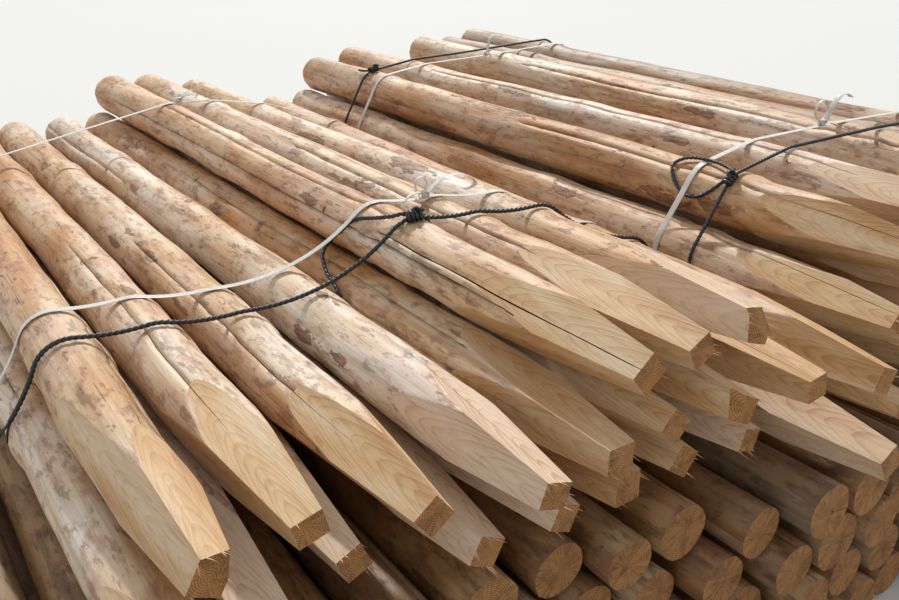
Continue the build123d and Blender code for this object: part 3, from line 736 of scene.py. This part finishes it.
def tautLine(circles):
    # the hull round all the posts
    cloud = []
    for x, z, r in circles:
        cloud += arcPoints((x, z), r, 0, 2 * math.pi, 0.003)
    cloud = sorted(set(cloud))
    hull = []
    for way in (cloud, cloud[::-1]):
        half = []
        for p in way:
            while len(half) > 1 and ((half[-1][0] - half[-2][0]) * (p[1] - half[-2][1])
                                     - (half[-1][1] - half[-2][1]) * (p[0] - half[-2][0])) <= 0:
                half.pop()
            half.append(p)
        hull += half[:-1]
    return hull


def slackLine(circles, ball):
    # rolls the ball round the posts and keeps the line it cannot enter
    def restOn(a, b):
        span = math.hypot(b[0] - a[0], b[1] - a[1])
        d0, d1 = a[2] + ball, b[2] + ball
        if span >= d0 + d1:
            return None
        along = (span * span + d0 * d0 - d1 * d1) / (2 * span)
        off = math.sqrt(d0 * d0 - along * along)
        ux, uz = (b[0] - a[0]) / span, (b[1] - a[1]) / span
        return a[0] + ux * along + uz * off, a[1] + uz * along - ux * off

    now = min(circles, key=lambda c: c[1] - c[2])
    angle, steps = -math.pi / 2, []
    while not (steps and steps[0][0] is now and len(steps) > 2):
        options = []
        for other in circles:
            centre = restOn(now, other) if other is not now else None
            if centre:
                turn = (math.atan2(centre[1] - now[1], centre[0] - now[0]) - angle) % (2 * math.pi)
                if turn > 1e-9:
                    options.append((turn, len(options), other, centre))
        turn, _, other, centre = min(options)
        steps.append((now, other, centre))
        now = other
        angle = math.atan2(centre[1] - now[1], centre[0] - now[0])
    line = []
    for k, (a, b, centre) in enumerate(steps):
        before = steps[k - 1][2]
        a0 = math.atan2(before[1] - a[1], before[0] - a[0])
        a1 = math.atan2(centre[1] - a[1], centre[0] - a[0])
        line += arcPoints(a[:2], a[2], a0, a0 + (a1 - a0) % (2 * math.pi))
        b0 = math.atan2(a[1] - centre[1], a[0] - centre[0])
        b1 = math.atan2(b[1] - centre[1], b[0] - centre[0])
        line += arcPoints(centre, ball, b0, b0 - (b0 - b1) % (2 * math.pi))
    return line


def sweep(points, ups, section, closed, twist=None):
    # section: (across, out) offsets; ups: which way is out at each point
    points = np.array(points, float)
    n, m = len(points), len(section)
    along = np.roll(points, -1, axis=0) - np.roll(points, 1, axis=0) if closed else np.gradient(points, axis=0)
    along /= np.linalg.norm(along, axis=1)[:, None]
    ups = np.array(ups, float)
    ups -= (ups * along).sum(axis=1)[:, None] * along
    ups /= np.linalg.norm(ups, axis=1)[:, None]
    across = np.cross(along, ups)
    run = np.r_[0, np.cumsum(np.linalg.norm(np.diff(points, axis=0), axis=1))]
    verts, faces, uv = [], [], []
    for i in range(n):
        turn = twist * i if twist else 0.0
        c, s = math.cos(turn), math.sin(turn)
        for a, b in section:
            verts.append(points[i] + across[i] * (a * c - b * s) + ups[i] * (a * s + b * c))
            uv.append((a, run[i], b))
    for i in range(n if closed else n - 1):
        j = (i + 1) % n
        for k in range(m):
            q = (k + 1) % m
            faces.append((i * m + k, i * m + q, j * m + q, j * m + k))
    if not closed:
        faces.append(tuple(range(m))[::-1])
        faces.append(tuple((n - 1) * m + k for k in range(m)))
    return verts, faces, uv


def ropeSection(diameter, count=15):
    # outline of three strands laid together
    out = []
    for k in range(count):
        a = 2 * math.pi * k / count
        near = (a + math.pi / 3) % (2 * math.pi / 3) - math.pi / 3
        r = diameter / 2 * (0.46 * math.cos(near) + math.sqrt(0.54 ** 2 - (0.46 * math.sin(near)) ** 2))
        out.append((r * math.cos(a), r * math.sin(a)))
    return out


def strapSection(width, thick):
    # flat outline with its edges pressed thin
    w, t = width / 2, thick / 2
    return [(-w, -t * 0.4), (-w, t * 0.4), (-w * 0.9, t), (-w * 0.45, t), (0, t), (w * 0.45, t), (w * 0.9, t),
            (w, t * 0.4), (w, -t * 0.4), (w * 0.9, -t), (0, -t), (-w * 0.9, -t)]


def lineOf(loop, away, step):
    # evenly spaced points of the loop, with the outward direction at each
    circles = circlesOf(loop, away)
    flat = slackLine(circles, loop["ball"] - away) if loop["ball"] else tautLine(circles)
    flat = np.array(flat + [flat[0]])
    long = np.r_[0, np.cumsum(np.linalg.norm(np.diff(flat, axis=0), axis=1))]
    at = np.linspace(0, long[-1], int(long[-1] / step), endpoint=False)
    u, z = np.interp(at, long, flat[:, 0]), np.interp(at, long, flat[:, 1])
    for _ in range(2):
        u, z = (np.roll(u, 1) + 2 * u + np.roll(u, -1)) / 4, (np.roll(z, 1) + 2 * z + np.roll(z, -1)) / 4
    du, dz = np.roll(u, -1) - np.roll(u, 1), np.roll(z, -1) - np.roll(z, 1)
    c, s = math.cos(math.radians(loop["turn"])), math.sin(math.radians(loop["turn"]))
    often = sway["perMetre"]
    strayed = [sway["most"] * noise.noise((float(a) * often, float(b) * often, loop["y"] * 7)) for a, b in zip(u, z)]
    points = np.stack([pivotX + u * c, loop["y"] + u * s + strayed, z], axis=1)
    ups = np.stack([dz * c, dz * s, -du], axis=1)
    outward = ((points - points.mean(axis=0)) * ups).sum(axis=1).mean() > 0
    return points, ups if outward else -ups


def curveThrough(marks, step):
    # smooth line through a few chosen points
    marks = np.array(marks, float)
    ends = np.vstack([2 * marks[0] - marks[1], marks, 2 * marks[-1] - marks[-2]])
    fine = []
    for k in range(1, len(ends) - 2):
        p0, p1, p2, p3 = ends[k - 1:k + 3]
        for t in np.linspace(0, 1, 24, endpoint=False):
            fine.append(0.5 * (2 * p1 + (p2 - p0) * t + (2 * p0 - 5 * p1 + 4 * p2 - p3) * t * t
                               + (3 * p1 - p0 - 3 * p2 + p3) * t ** 3))
    fine = np.array(fine + [marks[-1]])
    long = np.r_[0, np.cumsum(np.linalg.norm(np.diff(fine, axis=0), axis=1))]
    at = np.linspace(0, long[-1], max(4, int(long[-1] / step)))
    return np.stack([np.interp(at, long, fine[:, k]) for k in range(3)], axis=1)


def topOf(x, y):
    # height of the highest post under a point
    best = 0.0
    for name in ("left_posts", "right_posts"):
        for post in measured[name]:
            centre, r = axisAt(post, y)
            reach = r * r - (x - centre[0]) ** 2
            if reach > 0:
                best = max(best, centre[2] + math.sqrt(reach))
    return best


def laidOn(marks, lift, step):
    # a line over the posts through chosen (x, y, extra height) points; it bridges the gaps between them
    line = curveThrough(marks, step)
    z = np.array([topOf(x, y) for x, y, _ in line]) + lift
    for _ in range(60):
        z[2:-2] = np.maximum(z[2:-2], (z[:-4] + z[4:]) / 2)
        z[1:-1] = (z[:-2] + 2 * z[1:-1] + z[2:]) / 4
    return np.stack([line[:, 0], line[:, 1], z + line[:, 2]], axis=1)


def windings(centre, along, up, radius, turns, pitch, section, twist=None, step=0.003):
    # turns of rope or strap wound round another at a knot
    along, up = Vector(along).normalized(), Vector(up)
    up = (up - up.dot(along) * along).normalized()
    side = along.cross(up)
    count = int(2 * math.pi * radius * turns / step)
    points, ups = [], []
    for k in range(count + 1):
        t = k / count
        a = 2 * math.pi * turns * t
        out = up * math.cos(a) + side * math.sin(a)
        points.append(Vector(centre) + along * pitch * turns * (t - 0.5) + out * radius)
        ups.append(out)
    return sweep([tuple(p) for p in points], [tuple(u) for u in ups], section, False, twist)


def nearest(line, x):
    # the point of a loop on top of the stack at x
    score = abs(line[:, 0] - x) - 0.4 * line[:, 2]
    return int(score.argmin())


def joinPiece(title, parts, material, node=None):
    # the parts as one mesh; woven says where each point lies across, along and through the strap or rope
    verts, faces, woven = [], [], []
    for partVerts, partFaces, partWoven in parts:
        base = len(verts)
        verts += [tuple(p) for p in partVerts]
        faces += [tuple(base + i for i in face) for face in partFaces]
        woven += partWoven
    piece = newPiece(title, verts, faces, [material], node)
    mesh = piece.data
    mesh.polygons.foreach_set("use_smooth", [len(face) == 4 for face in faces])
    mesh.attributes.new("woven", "FLOAT_VECTOR", "POINT").data.foreach_set("vector", np.array(woven, float).reshape(-1))
    bm = bmesh.new()
    bm.from_mesh(mesh)
    bmesh.ops.recalc_face_normals(bm, faces=bm.faces[:])
    bm.to_mesh(mesh)
    bm.free()
    return piece


strapLook = {
    "clean": "F6F5F1", "used": "ECE9E0", "soiled": "CFC7B6", "grooveShade": "D6D2C8", "ribPitch": 0.0013, "weftPitch": 0.004,
    "relief": 0.0003, "strength": 0.7,
    "surface": {"Roughness": 0.38, "IOR": 1.55, "Transmission Weight": 0.12, "Coat Weight": 0.3, "Coat Roughness": 0.3},
}


def wovenPolyester():
    # white woven polyester strapping: lengthwise cords under a thin shiny coat, a little light coming through
    look = strapLook
    material, tree, shader = newMaterial("wovenPolyester")
    woven = add(tree, "Attribute", attribute_name="woven").outputs["Vector"]
    apart = add(tree, "SeparateXYZ", {0: woven})
    waves = []
    for side, pitch in ((0, look["ribPitch"]), (1, look["weftPitch"])):
        phase = add(tree, "Math", {0: apart.outputs[side], 1: 2 * math.pi / pitch}, operation="MULTIPLY")
        waves.append(add(tree, "Math", {0: phase}, operation="SINE"))
    ribs, weft = waves
    soil = add(tree, "TexNoise", {"Vector": woven, "Scale": 26.0, "Detail": 4.0})
    colour = add(tree, "ValToRGB", {0: soil}, [(0.35, look["clean"]), (0.6, look["used"]), (0.8, look["soiled"])])
    # the furrows between the cords are darkened in colour, a painted shade
    depth = add(tree, "Math", {0: ribs, 1: 0.5, 2: 0.5}, operation="MULTIPLY_ADD")
    shade = add(tree, "ValToRGB", {0: depth}, [(0.0, look["grooveShade"]), (0.5, "FFFFFF")])
    finishMaterial(tree, shader, colour, [(0.6, shade, "MULTIPLY")], ribs, [(weft, 0.25)], look)
    return material


ropeLook = {
    "dark": "101012", "film": "26262A", "worn": "47474C", "relief": 0.0004, "strength": 0.8,
    "surface": {"Roughness": 0.4, "IOR": 1.49},
}


def blackPolypropylene():
    # black laid polypropylene rope: slightly glossy split-film fibres along each strand
    look = ropeLook
    material, tree, shader = newMaterial("blackPolypropylene")
    woven = add(tree, "Attribute", attribute_name="woven").outputs["Vector"]
    film = add(tree, "Mapping", {"Vector": woven, "Scale": (900, 40, 900)})
    fibre = add(tree, "TexNoise", {"Vector": film, "Scale": 1.0, "Detail": 3.0})
    colour = add(tree, "ValToRGB", {0: fibre}, [(0.3, look["dark"]), (0.6, look["film"]), (0.85, look["worn"])])
    finishMaterial(tree, shader, colour, [], fibre, [], look)
    return material


polyester = wovenPolyester()
polypropylene = blackPolypropylene()
strapShape = strapSection(strap["width"], strap["thick"])
narrowShape = strapSection(strap["width"] * 0.5, strap["thick"] * 1.3)
ropeShape = ropeSection(rope["diameter"])
twist = 2 * math.pi * rope["step"] / rope["lay"]

strapParts, strapLines = [], []
for loop in strapLoops:
    points, ups = lineOf(loop, strap["off"], strap["step"])
    strapLines.append((points, ups))
    strapParts.append(sweep(points, ups, strapShape, True))
ropeParts, ropeLines = [], []
# the open rope ends where its solid does, which is the only one far over on the left
farLeft = -0.5
ropeSolids = [points for points, _ in looseParts(nodes["black_ropes"])]
lowestOpen = min(float(points[:, 2].min()) for points in ropeSolids if points[:, 0].min() < farLeft)
# cut ends come unlaid: each strand goes its own way for a few centimetres
fray = {"strands": 3, "radius": 0.0019, "path": [(-0.004, 0.0014), (0.010, 0.0028), (0.022, 0.0064)], "end": 0.034,
        "apart": 0.0090}
strandShape = [(fray["radius"] * math.cos(q * math.pi / 4), fray["radius"] * math.sin(q * math.pi / 4))
               for q in range(8)]
for loop in ropeLoops:
    points, ups = lineOf(loop, rope["off"], rope["step"])
    if loop.get("open"):
        inside = points[:, 2] > lowestOpen + rope["diameter"] / 2
        first = next(i for i in range(len(points)) if inside[i] and not inside[i - 1])
        order = [(first + k) % len(points) for k in range(int(inside.sum()))]
        points, ups = points[order], ups[order]
        ropeParts.append(sweep(points, ups, ropeShape, False, twist))
        for end, way in ((0, 1), (len(points) - 1, -1)):
            back = points[end] - points[end + 6 * way]
            back /= np.linalg.norm(back)
            up = ups[end] / np.linalg.norm(ups[end])
            side = np.cross(back, up)
            for k in range(fray["strands"]):
                a = 2 * math.pi * k / fray["strands"] + 0.4
                lean = side * math.cos(a) + up * math.sin(a)
                path = fray["path"] + [(fray["end"], fray["apart"] + 0.002 * k)]
                strand = curveThrough([points[end] + back * d + lean * w for d, w in path], 0.003)
                ropeParts.append(sweep(strand, [tuple(ups[end])] * len(strand), strandShape, False))
    else:
        # a whole number of thirds of a turn, so that the strands meet where the loop closes
        third = 2 * math.pi / 3
        whole = round(len(points) * twist / third) * third / len(points)
        ropeParts.append(sweep(points, ups, ropeShape, True, whole))
    ropeLines.append((points, ups))

# rope knots: a few turns wound round the standing part and one crossing over them
ropeKnots = [(0, -0.3175), (1, 0.3945), (2, 0.4525)]
thick = rope["diameter"]
for k, x in ropeKnots:
    points, ups = ropeLines[k]
    i = nearest(points, x)
    along = points[(i + 3) % len(points)] - points[i - 3]
    out = ups[i] / np.linalg.norm(ups[i])
    unit = along / np.linalg.norm(along)
    cross = np.cross(unit, out)
    heart = points[i] + out * 0.0035
    ropeParts.append(windings(heart, along, out, thick * 0.85, 4.2, thick * 0.92, ropeShape, twist))
    heart = heart + out * 0.004 - unit * 0.004
    ropeParts.append(windings(heart, unit * 0.5 + cross, out, thick * 1.05, 1.3, thick * 0.9, ropeShape, twist))
joinPiece("blackRopes", ropeParts, polypropylene, "black_ropes")

# free stretches of rope beside the knots, laid over the posts they touch: x, y and extra height
lift = rope["diameter"] / 2 + 0.0015
freeRopes = {
    "slackRopeLeft": {"end": "bare", "marks": [
        (-0.330, -0.612, 0.006), (-0.345, -0.588, 0.002), (-0.356, -0.556, 0.0), (-0.366, -0.515, 0.0),
        (-0.375, -0.472, 0.0), (-0.394, -0.444, 0.0), (-0.418, -0.450, 0.0), (-0.431, -0.482, 0.0),
        (-0.435, -0.530, 0.0), (-0.440, -0.575, 0.0)]},
    "slackRopeRight": {"end": "object", "marks": [
        (0.386, -0.765, 0.005), (0.372, -0.735, 0.001), (0.368, -0.690, 0.0), (0.376, -0.640, 0.0),
        (0.398, -0.612, 0.0), (0.424, -0.630, 0.0), (0.436, -0.680, 0.0), (0.426, -0.735, 0.001),
        (0.408, -0.768, 0.005)]},
    "ropeTailLeft": {"end": "bare", "marks": [
        (-0.305, -0.626, 0.006), (-0.288, -0.618, 0.003), (-0.268, -0.600, 0.0), (-0.246, -0.578, 0.0)]},
    "ropeTailBack": {"end": "bare", "marks": [
        (0.440, 0.800, 0.005), (0.434, 0.818, 0.001), (0.430, 0.840, 0.0), (0.432, 0.868, 0.0)]},
}
for title, free in freeRopes.items():
    line = laidOn(free["marks"], lift, rope["step"])
    laid = sweep(line, [(0, 0, 1)] * len(line), ropeShape, False, twist)
    piece = joinPiece(title, [laid], polypropylene)

# strap knots: turns of folded strap round the band, then the free ends
strapKnots = [(0, -0.2075), (1, -0.2875), (2, 0.8625), (3, 0.8725)]
knotFrames = []
for k, x in strapKnots:
    points, ups = strapLines[k]
    i = nearest(points, x)
    along = points[(i + 2) % len(points)] - points[i - 2]
    out = ups[i] / np.linalg.norm(ups[i])
    unit = along / np.linalg.norm(along)
    if unit[0] < 0:
        unit = -unit
    cross = np.cross(out, unit)
    heart = points[i] + out * 0.0045
    knotFrames.append((heart, unit, cross, out))
    for middle, way, radius, turns, pitch in (
            (heart, unit * 0.9 + cross * 0.35, 0.0062, 1.6, 0.0060),
            (heart + out * 0.002, unit * 0.8 - cross * 0.5, 0.0080, 1.15, 0.0070),
            (heart + out * 0.001 - unit * 0.007, cross * 0.9 + unit * 0.2, 0.0058, 1.1, 0.0060)):
        strapParts.append(windings(middle, way, out, radius, turns, pitch, narrowShape))


def strapEnd(k, marks, shape):
    # a free end from a knot, through points given in mm as (along, across, out) from the knot
    heart, unit, cross, out = knotFrames[k]
    line = curveThrough([heart + unit * a * 0.001 + cross * b * 0.001 + out * c * 0.001 for a, b, c in marks], 0.004)
    along = np.gradient(line, axis=0)
    return sweep(line, np.cross(along, cross) * -1, shape, False)


strapEnds = [
    # left front: a wide loop thrown forward over the strap, and the cut end
    (0, [(4, 0, 3), (24, 6, 15), (52, 10, 26), (84, 10, 27), (108, 5, 18), (116, 0, 6), (104, -6, 1),
         (84, -9, 0)], strapShape),
    (0, [(-4, 0, 3), (-20, -6, 10), (-40, -12, 9), (-58, -20, 0)], narrowShape),
    (0, [(2, 2, 4), (12, 12, 20), (6, 20, 32), (-10, 20, 26), (-14, 10, 8)], narrowShape),
    # left back
    (1, [(4, 0, 3), (20, 4, 12), (44, 6, 17), (72, 6, 10), (96, 4, 0)], strapShape),
    (1, [(2, 0, 4), (20, 10, 18), (46, 14, 26), (62, 12, 14), (50, 8, 4), (30, 6, 2)], narrowShape),
    # right front: one end stands in a ring, the other rises and droops again
    (2, [(-2, 2, 4), (-22, 4, 16), (-30, 4, 36), (-16, 4, 55), (6, 4, 56), (20, 4, 38), (16, 4, 18),
         (2, 3, 8)], narrowShape),
    (2, [(3, -3, 4), (14, -5, 26), (28, -6, 50), (48, -7, 66), (70, -8, 68), (88, -10, 58)], strapShape),
    (2, [(0, -4, 3), (6, -20, 4), (12, -40, -2)], narrowShape),
    # right back
    (3, [(2, 0, 4), (8, 2, 26), (16, 4, 48), (30, 4, 62)], strapShape),
    (3, [(0, -2, 3), (-6, -16, 5), (-10, -36, 0)], narrowShape),
]
for k, marks, shape in strapEnds:
    strapParts.append(strapEnd(k, marks, shape))
joinPiece("wovenStraps", strapParts, polyester, "white_straps")

studio = {"floor": "DADAD8", "sky": "F4F6F8", "backdrop": "F6F6F4", "sun": 3.05, "sunTint": "FFFDFA", "sunAngle": 2,
          "sunWay": (-0.50, -0.86, -0.92), "world": 0.58}
floorMesh = bpy.data.meshes.new("floor")
floorMesh.from_pydata([(-30, -30, 0), (30, -30, 0), (30, 30, 0), (-30, 30, 0)], [], [(0, 1, 2, 3)])
floorPiece = bpy.data.objects.new("floor", floorMesh)
bpy.context.scene.collection.objects.link(floorPiece)
paper, _, paperShader = newMaterial("paleFloor")
paperShader.inputs["Base Color"].default_value = linear(studio["floor"])
paperShader.inputs["Roughness"].default_value = 0.9
floorMesh.materials.append(paper)

world = bpy.data.worlds.new("studio")
bpy.context.scene.world = world
world.use_nodes = True
sky = world.node_tree
sky.nodes.clear()
path = add(sky, "LightPath").outputs
soft = add(sky, "Background", {"Color": studio["sky"], "Strength": studio["world"]})
white = add(sky, "Background", {"Color": studio["backdrop"], "Strength": 1.0})
mirrored = add(sky, "Math", {0: path["Is Glossy Ray"], 1: path["Is Transmission Ray"]}, operation="MAXIMUM")
seen = add(sky, "Math", {0: path["Is Camera Ray"], 1: mirrored}, operation="MAXIMUM")
add(sky, "OutputWorld", {0: add(sky, "MixShader", {0: seen, 1: soft, 2: white})})

sun = bpy.data.lights.new("key", "SUN")
sun.energy = studio["sun"]
sun.angle = math.radians(studio["sunAngle"])
sun.color = linear(studio["sunTint"])[:3]
holder = bpy.data.objects.new("key", sun)
holder.rotation_euler = Vector(studio["sunWay"]).to_track_quat("-Z", "Y").to_euler()
bpy.context.scene.collection.objects.link(holder)

# where the photograph was taken from; focal is in pixels of its width
camera = {"at": (-1.1735, -1.9497, 1.255), "heading": 35.3, "pitch": 24.0, "focal": 900.0, "width": 899}
lens = bpy.data.cameras.new("camera")
lens.sensor_width = 36.0
lens.lens = 36.0 * camera["focal"] / camera["width"]
eye = bpy.data.objects.new("camera", lens)
eye.location = camera["at"]
eye.rotation_euler = (math.radians(90 - camera["pitch"]), 0, math.radians(-camera["heading"]))
bpy.context.scene.collection.objects.link(eye)
bpy.context.scene.camera = eye
bpy.context.scene.view_settings.view_transform = "Standard"
print("floor, light and camera placed")
